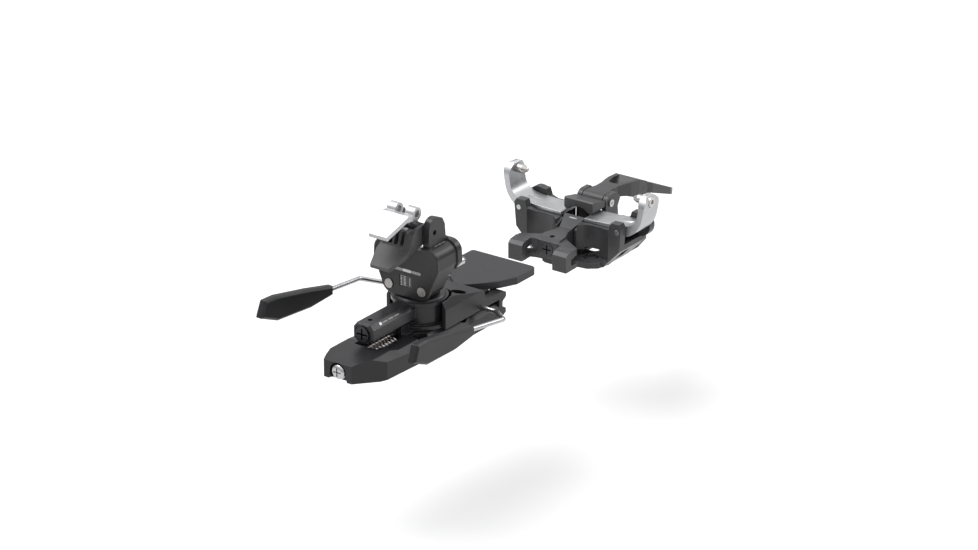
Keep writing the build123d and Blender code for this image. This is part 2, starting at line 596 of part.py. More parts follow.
with BuildPart() as turret_housing:
    extrude(turret_outline(0.7).moved(Location((0, BODY_REAR, 0))), amount=-(-154 - BODY_REAR))
    extrude(turret_outline(0).moved(Location((0, -154, 0))), amount=-(TURRET_FRONT + 154))
    fillet(turret_housing.faces().sort_by(Axis.Y)[-1].edges().filter_by(Axis.X, reverse=True), 1.2)
    # the foot recedes at the front
    with BuildSketch(Plane.YZ):
        Polygon((-145, 50.5), (-149, 50.5), (-155, 45.5), (-158.5, 38), (-158.5, 34), (-158.5, 20),
                (-145, 20), align=None)
    extrude(amount=25, both=True, mode=Mode.SUBTRACT)
    # round boss that sits on the tower
    rod(11.4, 30.6, 38, along_z(0, TOWER_Y))
    # ears for the riser hinge
    for side, _ in SIDES:
        with BuildSketch(Plane.YZ.offset(side * 13)):
            with BuildLine():
                rear = Line((-171.3, 56), (-171.3, 73))
                crown = ThreePointArc(rear @ 1, (-168.6, 78.2), (-163, 79.2))
                Polyline(crown @ 1, (-158.6, 77.4), (-156.4, 73.4), (-155.6, 66), (-151.5, 62),
                         (-151.5, 56), rear @ 0)
            make_face()
        extrude(amount=2.1, both=True)
    # trough between the ears, deep enough for the risers to turn through
    with Locations((0, (BODY_REAR + TURRET_FRONT) / 2, TROUGH_Z + 20)):
        Box(21.6, 30, 40, mode=Mode.SUBTRACT)
    # room for the pin arms, open to the rear under the cover and to the front
    with Locations((0, (BODY_REAR - 152) / 2, HEEL_PIN_Z)):
        Box(34.4, -152 - BODY_REAR, 7.4, mode=Mode.SUBTRACT)
    for side, _ in SIDES:
        with Locations((side * 14.4, -150, HEEL_PIN_Z)):
            Box(8.6, 16, 7.4, mode=Mode.SUBTRACT)
        rod(1.6, 36, TROUGH_Z - 1.4, along_z(side * HEEL_PIN_X, -163), Mode.SUBTRACT)
        # blind holes for the cover's rivets
        rod(1.5, BODY_REAR - 1, BODY_REAR + 6, along_y(side * 11.3, 36.6), Mode.SUBTRACT)
    rod(1.5, -16, 16, along_x(*EAR_HINGE), Mode.SUBTRACT)
    # post, adjusting screw
    rod(6.0 + RUN, 28, 45, along_z(0, TOWER_Y), Mode.SUBTRACT)
    rod(7.8, 37.7, 41, along_z(0, TOWER_Y), Mode.SUBTRACT)
    rod(4.0, TROUGH_Z - 1.6, TROUGH_Z + 1, along_z(0, TOWER_Y), Mode.SUBTRACT)
    with Locations((0, BODY_REAR + 0.75, 38.4)):
        Box(9, 3.5, 6, mode=Mode.SUBTRACT)
turret_housing.part.label = "turret_housing"
export_step(turret_housing.part, "parts/turret_housing.step")

with BuildPart() as rear_cover:
    extrude(turret_outline(0).moved(Location((0, COVER_Y, 0))), amount=-COVER_T)
    chamfer(rear_cover.faces().sort_by(Axis.Y)[0].edges(), 0.5)
    with Locations((0, COVER_Y, 66)):
        Box(21.6, 6, 10.4, mode=Mode.SUBTRACT)
    with Locations((0, COVER_Y, 40.4)):
        Box(8.4, 6, 7.2, mode=Mode.SUBTRACT)
    for side, _ in SIDES:
        rod(1.5, COVER_Y - 1, BODY_REAR + 1, along_y(side * 11.3, 36.6), Mode.SUBTRACT)
rear_cover.part.label = "rear_cover"
export_step(rear_cover.part, "parts/rear_cover.step")

with BuildPart() as cover_rivets:
    for side, _ in SIDES:
        rod(1.5, COVER_Y, BODY_REAR + 5, along_y(side * 11.3, 36.6))
        rod(2.75, COVER_Y - 0.7, COVER_Y, along_y(side * 11.3, 36.6))
cover_rivets.part.label = "cover_rivets"
export_step(cover_rivets.part, "parts/cover_rivets.step")

with BuildPart() as scale_window:
    with Locations((0, COVER_Y + 1.0, 40.4)):
        Box(8.4, 1.4, 7.2)
scale_window.part.label = "scale_window"
export_step(scale_window.part, "parts/scale_window.step")

with BuildPart() as release_marker:
    with Locations((0, BODY_REAR + 1.3, 38.6)):
        Box(3.4, 2.4, 1.2)
release_marker.part.label = "release_marker"
export_step(release_marker.part, "parts/release_marker.step")

with BuildPart() as ear_pin:
    rod(1.5, -13.6, 13.6, along_x(*EAR_HINGE))
ear_pin.part.label = "ear_pin"
export_step(ear_pin.part, "parts/ear_pin.step")

# ---- heel pins on sprung arms -----------------------------------------------------------
for side, word in SIDES:
    with BuildPart() as pin_arm:
        with BuildSketch(Plane.XY.offset(HEEL_PIN_Z - 3.2)):
            with BuildLine():
                Polyline((side * 11.2, -170.4), (side * 15.2, -170.4), (side * 15.8, -160),
                         (side * 15.8, -155.5), (side * 10.8, -155.5), (side * 10.8, -162),
                         close=True)
            make_face()
        extrude(amount=6.4)
        rod(1.6 + RUN, 38, 50, along_z(side * HEEL_PIN_X, -163), Mode.SUBTRACT)
        rod(1.9, -160, -150, along_y(side * HEEL_PIN_X, HEEL_PIN_Z), Mode.SUBTRACT)
    pin_arm.part.label = f"pin_arm_{word}"
    export_step(pin_arm.part, f"parts/pin_arm_{word}.step")

    with BuildPart() as heel_pin:
        with BuildSketch(Plane(origin=(side * HEEL_PIN_X, 0, HEEL_PIN_Z), x_dir=(0, 1, 0), z_dir=(1, 0, 0))):
            Polygon((-159.9, 0), (-159.9, 1.9), (-148.6, 1.9), (-148.6, 2.5), (-138.6, 2.5),
                    (-136.8, 1.9), (-136, 0.9), (-136, 0), align=None)
        revolve(axis=Axis((side * HEEL_PIN_X, 0, HEEL_PIN_Z), (0, 1, 0)))
    heel_pin.part.label = f"heel_pin_{word}"
    export_step(heel_pin.part, f"parts/heel_pin_{word}.step")

with BuildPart() as arm_pivots:
    for side, _ in SIDES:
        rod(1.6, 36, TROUGH_Z - 1.4, along_z(side * HEEL_PIN_X, -163))
arm_pivots.part.label = "arm_pivots"
export_step(arm_pivots.part, "parts/arm_pivots.step")

with BuildPart() as vertical_spring:
    coil(along_x(-168.2, HEEL_PIN_Z), -10.2, 10.2, 2.3, 0.5, 14)
vertical_spring.part.label = "vertical_spring"
export_step(vertical_spring.part, "parts/vertical_spring.step")

with BuildPart() as vertical_screw:
    rod(3.9, TROUGH_Z - 1.5, TROUGH_Z + 0.2, along_z(0, TOWER_Y))
    cross_recess(along_z(0, TOWER_Y), TROUGH_Z + 0.2, 2.4, 1.2)
vertical_screw.part.label = "vertical_screw"
export_step(vertical_screw.part, "parts/vertical_screw.step")

# ---- riser flaps ------------------------------------------------------------------------
FLAP_HALF = 9.8
with BuildPart() as riser_high:
    # plate with its flat pad, widening forwards to the hinge arms
    with BuildSketch(Plane.YZ):
        with BuildLine():
            Polyline((-198.4, 76.4), (-182.2, 84.4), (-177.6, 83.6), (-170.4, 77.0), (-165, 74.2),
                     (-163, 70.8), (-166, 67.8), (-169.2, 70.2), (-173.6, 76.4), (-178.6, 80.6),
                     (-183.4, 81.0), (-197.6, 74.0), close=True)
        make_face()
    extrude(amount=FLAP_HALF, both=True)
    with BuildSketch(Plane.XY.offset(60)):
        with BuildLine():
            Polyline((0, -198.6), (6.2, -198.6), (6.6, -196), (9.8, -181), (9.8, -178.6), (7.7, -177),
                     (7.7, -160), (0, -160))
            mirror(about=Plane.YZ)
        make_face()
    extrude(amount=40, mode=Mode.INTERSECT)
    # slanted bevel facets beside the pad
    for side, _ in SIDES:
        with BuildSketch(Plane.XZ.offset(150)):
            Polygon((side * 6.2, 90), (side * 12, 78.2), (side * 12, 90), align=None)
        extrude(amount=60, mode=Mode.SUBTRACT)
    for side, _ in SIDES:
        rod(3.8, side * 6.2 - 2.9, side * 6.2 + 2.9, along_x(-174, 83.2))
        rod(3.4, side * 6.2 - 1.5, side * 6.2 + 1.5, along_x(*EAR_HINGE))
    # open frame between the knuckles and round the lower flap's hinge
    with Locations((0, -172.5, 76)):
        Box(6.4, 9.5, 30, mode=Mode.SUBTRACT)
    with Locations((0, -165.5, 70)):
        Box(9.4, 11.4, 10.4, mode=Mode.SUBTRACT)
    rod(2.0, -12, 12, along_x(-174, 83.2), Mode.SUBTRACT)
    rod(1.5 + RUN, -12, 12, along_x(*EAR_HINGE), Mode.SUBTRACT)
riser_high.part.label = "riser_high"
export_step(riser_high.part, "parts/riser_high.step")

with BuildPart() as riser_low:
    # pad and the post that carries it
    with BuildSketch(Plane.YZ):
        with BuildLine():
            Polyline((-197.4, 57.4), (-182.6, 64.4), (-179.4, 72.6), (-176.4, 73.0), (-172, 70.2),
                     (-172, 66.4), (-176.4, 63.0), (-182, 61.8), (-196.6, 55.2), close=True)
        make_face()
    extrude(amount=10.3, both=True)
    with BuildSketch(Plane.XY.offset(50)):
        with BuildLine():
            Polyline((0, -198), (6.0, -198), (6.8, -196), (10.3, -186), (10.3, -170), (0, -170))
            mirror(about=Plane.YZ)
        make_face()
    extrude(amount=40, mode=Mode.INTERSECT)
    for slot_x in (-3.9, 0, 3.9):
        with Locations((slot_x, -181.4, 72)):
            Box(2.4, 7.4, 13, mode=Mode.SUBTRACT)
    # cheeks that run forwards to the hinge
    for side, _ in SIDES:
        with BuildSketch(Plane.YZ.offset(side * 9.2)):
            with BuildLine():
                Polyline((-186, 61.0), (-181, 66.4), (-177.4, 74.6), (-171, 75.6), (-165, 74.6),
                         (-162.2, 71), (-163.8, 67.4), (-170, 64.2), (-177, 62.4), close=True)
            make_face()
        extrude(amount=1.1, both=True)
    rod(1.5 + RUN, -12, 12, along_x(*EAR_HINGE), Mode.SUBTRACT)
riser_low.part.label = "riser_low"
export_step(riser_low.part, "parts/riser_low.step")

# ---- brake -------------------------------------------------------------------------------
with BuildPart() as brake_housing:
    with BuildSketch(Plane.YZ):
        with BuildLine():
            rear = Polyline((-124, BASE_TOP), (-163.6, BASE_TOP), (-163.6, 28.6), (-160, 29.6),
                            (-152, 29.0), (-126.6, 23.6), (-125.2, 16.8))
            lobe = Polyline(rear @ 1, (-107.5, 16.8), (-105.2, 15.4), (-105.0, 12.8), (-108.4, 10.6),
                            (-108.6, 7.6), (-105.4, 5.6), (-105.2, 3.2), (-108.6, 1.2),
                            (-111.7, 0.2), (-111.7, BASE_TOP), rear @ 0)
        make_face()
    extrude(amount=20.6, both=True)
    # the flanks lean in towards the top, the front bracket is hollow between its lobes
    for side, _ in SIDES:
        with BuildSketch(Plane.XZ.offset(100)):
            Polygon((side * 21, 23.6), (side * 17.4, 30.4), (side * 21, 30.4), align=None)
        extrude(amount=70, mode=Mode.SUBTRACT)
    with Locations((0, -108, 6)):
        Box(26, 9, 26, mode=Mode.SUBTRACT)
    # room for the tower's flange, and a way out to the rear
    rod(18.2, BASE_TOP - 1, 32, along_z(0, TOWER_Y), Mode.SUBTRACT)
    with Locations((0, TOWER_Y - 12, 24)):
        Box(36.4, 24, 24, mode=Mode.SUBTRACT)
    for side, _ in SIDES:
        spot = along_z(side * HEEL_SCREW_X, HEEL_SCREW_FRONT)
        rod(2.75, 10, 30, spot, Mode.SUBTRACT)
        rod(4.4, 21.2, 32, spot, Mode.SUBTRACT)
    # axle bore, hub pocket, pedal hinge bore
    rod(WIRE_R + RUN, -22, 22, along_x(*BRAKE_AXIS), Mode.SUBTRACT)
    rod(5.8, -12.2, 12.2, along_x(*BRAKE_AXIS), Mode.SUBTRACT)
    with Locations((0, -119.2, 18)):
        Box(30.6, 12.4, 14, mode=Mode.SUBTRACT)
    rod(1.5, -19, 19, along_x(*PEDAL_HINGE), Mode.SUBTRACT)
brake_housing.part.label = "brake_housing"
export_step(brake_housing.part, "parts/brake_housing.step")

with BuildPart() as heel_pedal:
    with BuildSketch(Plane.XY.offset(PEDAL_TOP - PEDAL_T)):
        with BuildLine():
            Polyline((0, -123.4), (3.2, -123), (7.9, -118.4), (12.6, -113.4), (17.8, -107.2),
                     (22.6, -97), (22.6, -78), (0, -78))
            mirror(about=Plane.YZ)
        make_face()
    extrude(amount=PEDAL_T)
    fillet(heel_pedal.edges().filter_by(Axis.Z).group_by(Axis.Y)[-1], 2.6)
    chamfer(heel_pedal.faces().sort_by(Axis.Z)[-1].edges(), 0.6)
    with BuildSketch(Plane.YZ):
        Polygon((-140, PEDAL_TOP - 0.9), (-96.8, PEDAL_TOP - 0.05), (-96.2, PEDAL_TOP + 1),
                (-140, PEDAL_TOP + 1), align=None)
    extrude(amount=25, both=True, mode=Mode.SUBTRACT)
    for side, _ in SIDES:
        with BuildSketch(Plane.YZ.offset(side * 11)):
            with BuildLine():
                eye = ThreePointArc((-122.2, 13.6), (-119.5, 10.9), (-116.8, 13.6))
                Polyline(eye @ 1, (-112, 17.8), (-120.6, 17.8), eye @ 0)
            make_face()
        extrude(amount=2.6, both=True)
    rod(1.5 + RUN, -19, 19, along_x(*PEDAL_HINGE), Mode.SUBTRACT)
heel_pedal.part.label = "heel_pedal"
export_step(heel_pedal.part, "parts/heel_pedal.step")

with BuildPart() as pedal_pin:
    rod(1.5, -18.6, 18.6, along_x(*PEDAL_HINGE))
pedal_pin.part.label = "pedal_pin"
export_step(pedal_pin.part, "parts/pedal_pin.step")

# brake arms: bent wire from the hub, out of the housing, up and back to the plastic tips
WIRE_STOPS = ((31.4, -130.0, 14.5), (50.2, -149.4, 21.5), (48.6, -178.7, 25.2), (50.6, -212, 28.4))
for side, word in SIDES:
    with BuildPart() as brake_arm:
        with BuildLine() as wire_path:
            FilletPolyline((side * 6.2, *BRAKE_AXIS), *[(side * x, y, z) for x, y, z in WIRE_STOPS],
                           radius=3.2)
        with BuildSketch(Plane(origin=wire_path.line @ 0, z_dir=wire_path.line % 0)):
            Circle(WIRE_R)
        sweep(path=wire_path.line)
    brake_arm.part.label = f"brake_arm_{word}"
    export_step(brake_arm.part, f"parts/brake_arm_{word}.step")

    # tip: an upright blade that spreads from a round neck into a six-cornered paddle
    blade = Plane(origin=(side * 48.9, -179, 0), x_dir=(-side * 0.055, 1, 0), z_dir=(1, side * 0.055, 0))
    with BuildPart() as brake_tip:
        with BuildSketch(blade):
            with BuildLine():
                Polyline((0.4, 22.4), (0.4, 27.8), (-21, 32.6), (-47, 37.4), (-56.5, 37.6),
                         (-60.6, 28.3), (-46.5, 22.4), (-18.5, 20.8), close=True)
            make_face()
        extrude(amount=2.9, both=True)
        chamfer(brake_tip.faces().sort_by(SortBy.AREA)[-2:].edges(), 1.3)
        add(brake_arm.part, mode=Mode.SUBTRACT)
    brake_tip.part.label = f"brake_tip_{word}"
    export_step(brake_tip.part, f"parts/brake_tip_{word}.step")

with BuildPart() as brake_hub:
    rod(4.2, -7.6, 7.6, along_x(*BRAKE_AXIS))
    with Locations((0, BRAKE_AXIS[0] + 2.2, BRAKE_AXIS[1] + 1.4)):
        Box(15.2, 4.4, 3.4)
    for side, _ in SIDES:
        rod(WIRE_R, min(side * 6.2, side * 12), max(side * 6.2, side * 12), along_x(*BRAKE_AXIS),
            Mode.SUBTRACT)
brake_hub.part.label = "brake_hub"
export_step(brake_hub.part, "parts/brake_hub.step")

with BuildPart() as brake_springs:
    for start in (-11.9, 7.9):
        coil(along_x(*BRAKE_AXIS), start, start + 4.0, 2.6, 0.45, 4)
brake_springs.part.label = "brake_springs"
export_step(brake_springs.part, "parts/brake_springs.step")
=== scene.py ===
"""Ski touring pin binding: finishes, printed marks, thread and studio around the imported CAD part. Metres."""
import math

import bmesh
import bpy
import numpy as np
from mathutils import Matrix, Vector


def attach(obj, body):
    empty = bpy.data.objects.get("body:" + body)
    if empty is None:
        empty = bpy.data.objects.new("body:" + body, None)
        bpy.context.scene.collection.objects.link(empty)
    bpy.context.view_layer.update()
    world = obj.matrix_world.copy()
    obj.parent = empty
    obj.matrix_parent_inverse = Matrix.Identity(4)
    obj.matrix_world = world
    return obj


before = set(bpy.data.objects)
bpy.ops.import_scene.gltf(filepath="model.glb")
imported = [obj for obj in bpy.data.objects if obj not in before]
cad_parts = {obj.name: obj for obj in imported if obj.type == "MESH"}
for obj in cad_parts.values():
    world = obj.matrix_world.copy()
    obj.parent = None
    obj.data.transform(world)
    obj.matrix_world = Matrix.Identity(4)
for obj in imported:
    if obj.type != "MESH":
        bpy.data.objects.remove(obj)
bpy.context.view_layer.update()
MM = 0.001


# ---- node graphs -------------------------------------------------------------------------
class Graph:
    """A material's node tree, with the few links that every finish here is made of."""

    def __init__(self, name):
        self.material = bpy.data.materials.new(name)
        self.material.use_nodes = True
        self.tree = self.material.node_tree
        self.tree.nodes.clear()
        self.out = self.add("ShaderNodeOutputMaterial")
        self.shader = self.add("ShaderNodeBsdfPrincipled")
        self.link(self.shader.outputs[0], self.out.inputs[0])
        self.place = self.add("ShaderNodeTexCoord").outputs["Object"]

    def add(self, kind, **settings):
        node = self.tree.nodes.new(kind)
        for key, value in settings.items():
            setattr(node, key, value)
        return node

    def link(self, source, socket):
        self.tree.links.new(source, socket)

    def stretched(self, scale, turn=(0, 0, 0)):
        """Object coordinates turned and then scaled per axis."""
        mapping = self.add("ShaderNodeMapping")
        mapping.inputs["Scale"].default_value = scale
        mapping.inputs["Rotation"].default_value = turn
        self.link(self.place, mapping.inputs["Vector"])
        return mapping.outputs[0]

    def noise(self, scale, detail=3.0, rough=0.55, place=None):
        node = self.add("ShaderNodeTexNoise")
        node.inputs["Scale"].default_value = scale
        node.inputs["Detail"].default_value = detail
        node.inputs["Roughness"].default_value = rough
        self.link(place or self.place, node.inputs["Vector"])
        return node.outputs["Fac"]

    def cells(self, scale):
        node = self.add("ShaderNodeTexVoronoi")
        node.inputs["Scale"].default_value = scale
        self.link(self.place, node.inputs["Vector"])
        return node.outputs["Distance"]

    def spread(self, value, low, high, to_low, to_high):
        node = self.add("ShaderNodeMapRange")
        ends = {"From Min": low, "From Max": high, "To Min": to_low, "To Max": to_high}
        for socket, number in ends.items():
            node.inputs[socket].default_value = number
        self.link(value, node.inputs["Value"])
        return node.outputs[0]

    def sum(self, a, b, share=1.0):
        """a + share * b."""
        node = self.add("ShaderNodeMath", operation="MULTIPLY_ADD")
        self.link(b, node.inputs[0])
        node.inputs[1].default_value = share
        self.link(a, node.inputs[2])
        return node.outputs[0]

    def times(self, a, b):
        node = self.add("ShaderNodeMath", operation="MULTIPLY")
        self.link(a, node.inputs[0])
        self.link(b, node.inputs[1])
        return node.outputs[0]

    def blend_colours(self, factor, first, second):
        node = self.add("ShaderNodeMix", data_type="RGBA")
        self.link(factor, node.inputs[0])
        for socket, colour in ((node.inputs[6], first), (node.inputs[7], second)):
            if isinstance(colour, tuple):
                socket.default_value = (*colour, 1)
            else:
                self.link(colour, socket)
        return node.outputs[2]

    def soft_edges(self, radius):
        """The bevelled normal, and a mask that is 1 along edges: how far it turns from the flat normal."""
        bevel = self.add("ShaderNodeBevel", samples=6)
        bevel.inputs["Radius"].default_value = radius
        turned = self.add("ShaderNodeVectorMath", operation="DOT_PRODUCT")
        self.link(bevel.outputs[0], turned.inputs[0])
        self.link(self.add("ShaderNodeNewGeometry").outputs["Normal"], turned.inputs[1])
        return bevel.outputs[0], self.spread(turned.outputs["Value"], 1.0, 0.86, 0.0, 1.0)

    def bump(self, height, depth, normal):
        node = self.add("ShaderNodeBump")
        node.inputs["Distance"].default_value = depth
        node.inputs["Strength"].default_value = 1.0
        self.link(height, node.inputs["Height"])
        if normal is not None:
            self.link(normal, node.inputs["Normal"])
        self.link(node.outputs[0], self.shader.inputs["Normal"])


def scaled(colour, share):
    return tuple(min(1.0, c * share) for c in colour)


def blasted_alloy(name, colour, rough, wear, edge=0.35 * MM):
    """Anodised alloy: fine blasted grain, cloudy tone, edges rubbed lighter."""
    g = Graph(name)
    normal, mask = g.soft_edges(edge)
    cloud = g.noise(90, 4)
    grain = g.noise(5200, 2, 0.6)
    rub = g.times(mask, g.spread(g.noise(620, 4), 0.38, 0.62, 0.15, 1.0))
    tone = g.blend_colours(g.spread(cloud, 0.35, 0.65, 0, 1), scaled(colour, 0.86), scaled(colour, 1.12))
    speck = g.blend_colours(g.spread(grain, 0.62, 0.74, 0, 0.5), tone, scaled(colour, 1.6))
    worn = g.times(rub, g.spread(cloud, 0.3, 0.7, 0.5, 1.0))
    g.link(g.blend_colours(worn, speck, wear), g.shader.inputs["Base Color"])
    dull = g.spread(cloud, 0.3, 0.7, rough - 0.05, rough + 0.05)
    g.link(g.sum(dull, grain, 0.06), g.shader.inputs["Roughness"])
    g.shader.inputs["Specular IOR Level"].default_value = 0.3
    g.bump(grain, 0.02 * MM, normal)
    return g.material


def moulded_plastic(name, colour, rough, edge=0.4 * MM, shine=0.0):
    """Glass-filled plastic: eroded texture from the mould, smoother and paler where it is handled."""
    g = Graph(name)
    normal, mask = g.soft_edges(edge)
    texture = g.sum(g.noise(3400, 3, 0.6), g.cells(2300), 0.5)
    cloud = g.noise(55, 4)
    tone = g.blend_colours(g.spread(cloud, 0.35, 0.65, 0, 1), scaled(colour, 0.9), scaled(colour, 1.12))
    scuffs = g.noise(900, 5, 0.7, g.stretched((1.0, 0.14, 1.0), (0, 0, 0.6)))
    marked = g.blend_colours(g.spread(scuffs, 0.66, 0.78, 0, 0.35), tone, scaled(colour, 1.8))
    edges = g.spread(mask, 0, 1, 0, 0.5)
    g.link(g.blend_colours(edges, marked, scaled(colour, 2.0)), g.shader.inputs["Base Color"])
    dull = g.spread(cloud, 0.3, 0.7, rough - 0.04, rough + 0.05)
    g.link(g.sum(dull, mask, -0.08), g.shader.inputs["Roughness"])
    g.shader.inputs["Specular IOR Level"].default_value = 0.3
    g.shader.inputs["Coat Weight"].default_value = shine
    g.shader.inputs["Coat Roughness"].default_value = 0.3
    g.bump(texture, 0.025 * MM, normal)
    return g.material


def drawn_metal(name, colour, rough, along, edge=0.25 * MM, grain=1.0):
    """Bare metal with fine lines along one axis, brighter at its edges, faintly clouded by handling."""
    g = Graph(name)
    normal, mask = g.soft_edges(edge)
    squeeze = [1.0, 1.0, 1.0]
    squeeze[along] = 0.04
    lines = g.noise(4200, 3, 0.65, g.stretched(tuple(squeeze)))
    cloud = g.noise(140, 4)
    tone = g.blend_colours(g.spread(cloud, 0.3, 0.7, 0, 1), scaled(colour, 0.9), scaled(colour, 1.06))
    lined = g.blend_colours(g.spread(lines, 0.4, 0.75, 0, 0.3), tone, scaled(colour, 0.72))
    edges = g.spread(mask, 0, 1, 0, 0.6)
    g.link(g.blend_colours(edges, lined, scaled(colour, 1.2)), g.shader.inputs["Base Color"])
    dull = g.spread(cloud, 0.3, 0.7, rough - 0.05, rough + 0.06)
    g.link(g.sum(dull, lines, 0.12), g.shader.inputs["Roughness"])
    g.shader.inputs["Metallic"].default_value = 1.0
    g.bump(lines, 0.006 * grain * MM, normal)
    return g.material


def printed_ink(name, colour, rough):
    """Pad-printed ink: almost opaque, slightly mottled, with pinholes of darker ground."""
    g = Graph(name)
    mottle = g.noise(2600, 4, 0.7)
    pinholes = g.spread(mottle, 0.64, 0.72, 0, 0.7)
    g.link(g.blend_colours(pinholes, colour, scaled(colour, 0.45)), g.shader.inputs["Base Color"])
    g.link(g.spread(mottle, 0.3, 0.7, rough - 0.08, rough + 0.08), g.shader.inputs["Roughness"])
    g.bump(mottle, 0.006 * MM, None)
    return g.material


toe_black = blasted_alloy("toe_black", (0.03504, 0.03504, 0.0365), 0.30, (0.20, 0.20, 0.205))
lever_grey = blasted_alloy("lever_grey", (0.0365, 0.0365, 0.03796), 0.34, (0.20, 0.20, 0.205))
tower_black = blasted_alloy("tower_black", (0.01387, 0.01387, 0.01533), 0.27, (0.11, 0.11, 0.115))
base_black = moulded_plastic("base_black", (0.01022, 0.01022, 0.01132), 0.40, 0.5 * MM)
turret_black = moulded_plastic("turret_black", (0.01387, 0.01387, 0.01497), 0.33, 0.6 * MM, 0.1)
pedal_black = moulded_plastic("pedal_black", (0.02044, 0.02044, 0.0219), 0.44, 0.6 * MM)
housing_black = moulded_plastic("housing_black", (0.01241, 0.01241, 0.0135), 0.40, 0.6 * MM)
riser_grey = moulded_plastic("riser_grey", (0.04964, 0.04964, 0.0511), 0.40, 0.5 * MM)
tip_black = moulded_plastic("tip_black", (0.01022, 0.01022, 0.01132), 0.40, 0.9 * MM)
silver = drawn_metal("silver_alloy", (0.448, 0.452, 0.46), 0.34, 0, 0.45 * MM, 0.5)
riser_silver = drawn_metal("riser_silver", (0.48, 0.48, 0.488), 0.36, 1, 0.35 * MM, 0.4)
steel = drawn_metal("bright_steel", (0.448, 0.448, 0.456), 0.18, 1, 0.2 * MM)
pin_steel = drawn_metal("pin_steel", (0.496, 0.48, 0.46), 0.15, 0, 0.2 * MM)
dark_steel = drawn_metal("dark_steel", (0.06, 0.06, 0.065), 0.35, 1, 0.2 * MM)
spring_wire = drawn_metal("spring_wire", (0.4, 0.36, 0.344), 0.22, 0, 0.05 * MM)
rivet_alloy = drawn_metal("rivet_alloy", (0.4, 0.392, 0.38), 0.42, 0, 0.3 * MM)
nut_brass = drawn_metal("nut_brass", (0.576, 0.44, 0.224), 0.3, 1)
window_black = moulded_plastic("window_black", (0.01314, 0.01314, 0.0146), 0.22, 0.1 * MM, 0.5)
ink_white = printed_ink("ink_white", (0.64, 0.64, 0.632), 0.45)
ink_grey = printed_ink("ink_grey", (0.288, 0.288, 0.288), 0.5)

FINISHES = {
    toe_black: ("toe_base", "toe_trigger"),
    lever_grey: ("toe_lever", "toe_lever_tip"),
    tower_black: ("tower",),
    base_black: ("heel_base",),
    turret_black: ("turret_housing", "rear_cover"),
    housing_black: ("brake_housing", "brake_hub"),
    pedal_black: ("heel_pedal",),
    riser_grey: ("riser_low",),
    tip_black: ("brake_tip_left", "brake_tip_right"),
    silver: ("wing_left", "wing_right"),
    riser_silver: ("riser_high",),
    steel: ("wing_hinge_pins", "toe_lever_pin", "length_screw", "turret_post", "lateral_piston",
            "pin_arm_left", "pin_arm_right", "arm_pivots", "pedal_pin", "toe_spring_rod",
            "turret_circlip", "brake_arm_left", "brake_arm_right", "vertical_screw"),
    pin_steel: ("toe_pin_left", "toe_pin_right", "heel_pin_left", "heel_pin_right"),
    dark_steel: ("toe_boss_screw", "lateral_plug", "ear_pin", "lever_tip_pins"),
    spring_wire: ("toe_spring", "thrust_spring", "lateral_spring", "vertical_spring", "brake_springs"),
    rivet_alloy: ("cover_rivets",),
    nut_brass: ("length_nut",),
    window_black: ("scale_window",),
    ink_white: ("release_marker",),
}
for finish, names in FINISHES.items():
    for name in names:
        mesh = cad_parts[name].data
        mesh.materials.clear()
        mesh.materials.append(finish)


# ---- meshes --------------------------------------------------------------------------------
POLE_MERGE = 1e-7


def grid_mesh(name, points, finish, body, closed_u=False, closed_v=False, smooth=True):
    """A mesh over a grid of points, rows along u and columns along v, joined up where closed; a row that
    shrinks to a pole becomes one point."""
    rows, cols = points.shape[:2]
    u = np.arange(rows if closed_u else rows - 1)
    v = np.arange(cols if closed_v else cols - 1)
    uu, vv = np.meshgrid(u, v, indexing="ij")
    nu, nv = (uu + 1) % rows, (vv + 1) % cols
    faces = np.stack([uu * cols + vv, nu * cols + vv, nu * cols + nv, uu * cols + nv], -1).reshape(-1, 4)
    mesh = bpy.data.meshes.new(name)
    mesh.from_pydata(points.reshape(-1, 3).tolist(), [], faces.tolist())
    shell = bmesh.new()
    shell.from_mesh(mesh)
    bmesh.ops.remove_doubles(shell, verts=shell.verts, dist=POLE_MERGE)
    bmesh.ops.recalc_face_normals(shell, faces=shell.faces)
    shell.to_mesh(mesh)
    shell.free()
    mesh.polygons.foreach_set("use_smooth", np.full(len(mesh.polygons), smooth))
    mesh.materials.append(finish)
    piece = bpy.data.objects.new(name, mesh)
    bpy.context.scene.collection.objects.link(piece)
    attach(piece, body)
    return piece


def joined(pieces, name):
    """Several pieces on one body made one object."""
    bpy.ops.object.select_all(action="DESELECT")
    for piece in pieces:
        piece.select_set(True)
    bpy.context.view_layer.objects.active = pieces[0]
    bpy.ops.object.join()
    pieces[0].name = name
    pieces[0].data.name = name
    return pieces[0]


def ink_patch(name, centre, across, up, half_w, half_h, finish, body, lift=0.03 * MM):
    """A printed patch: a superellipse disc, |x/a|^6 + |y/b|^6 = 1 at its rim, domed by lift and
    closed below."""
    turns = np.linspace(0, 2 * np.pi, 33)[:-1]
    c, s = np.cos(turns), np.sin(turns)
    reach = (np.abs(c) ** 6 + np.abs(s) ** 6) ** (-1 / 6)
    rings = np.array([(0.0, 1.0), (0.6, 1.0), (0.97, 0.9), (1.0, 0.4), (1.0, -1.0), (0.0, -1.0)])
    radius, height = rings[:, :1], rings[:, 1:]
    centre, across, up = Vector(centre) * MM, Vector(across).normalized(), Vector(up).normalized()
    out = np.array(across.cross(up))
    x = radius * (c * reach) * half_w * MM
    y = radius * (s * reach) * half_h * MM
    points = (np.array(centre) + x[..., None] * np.array(across) + y[..., None] * np.array(up)
              + (height * lift + 0 * x)[..., None] * out)
    return grid_mesh(name, points, finish, body, closed_v=True, smooth=False)


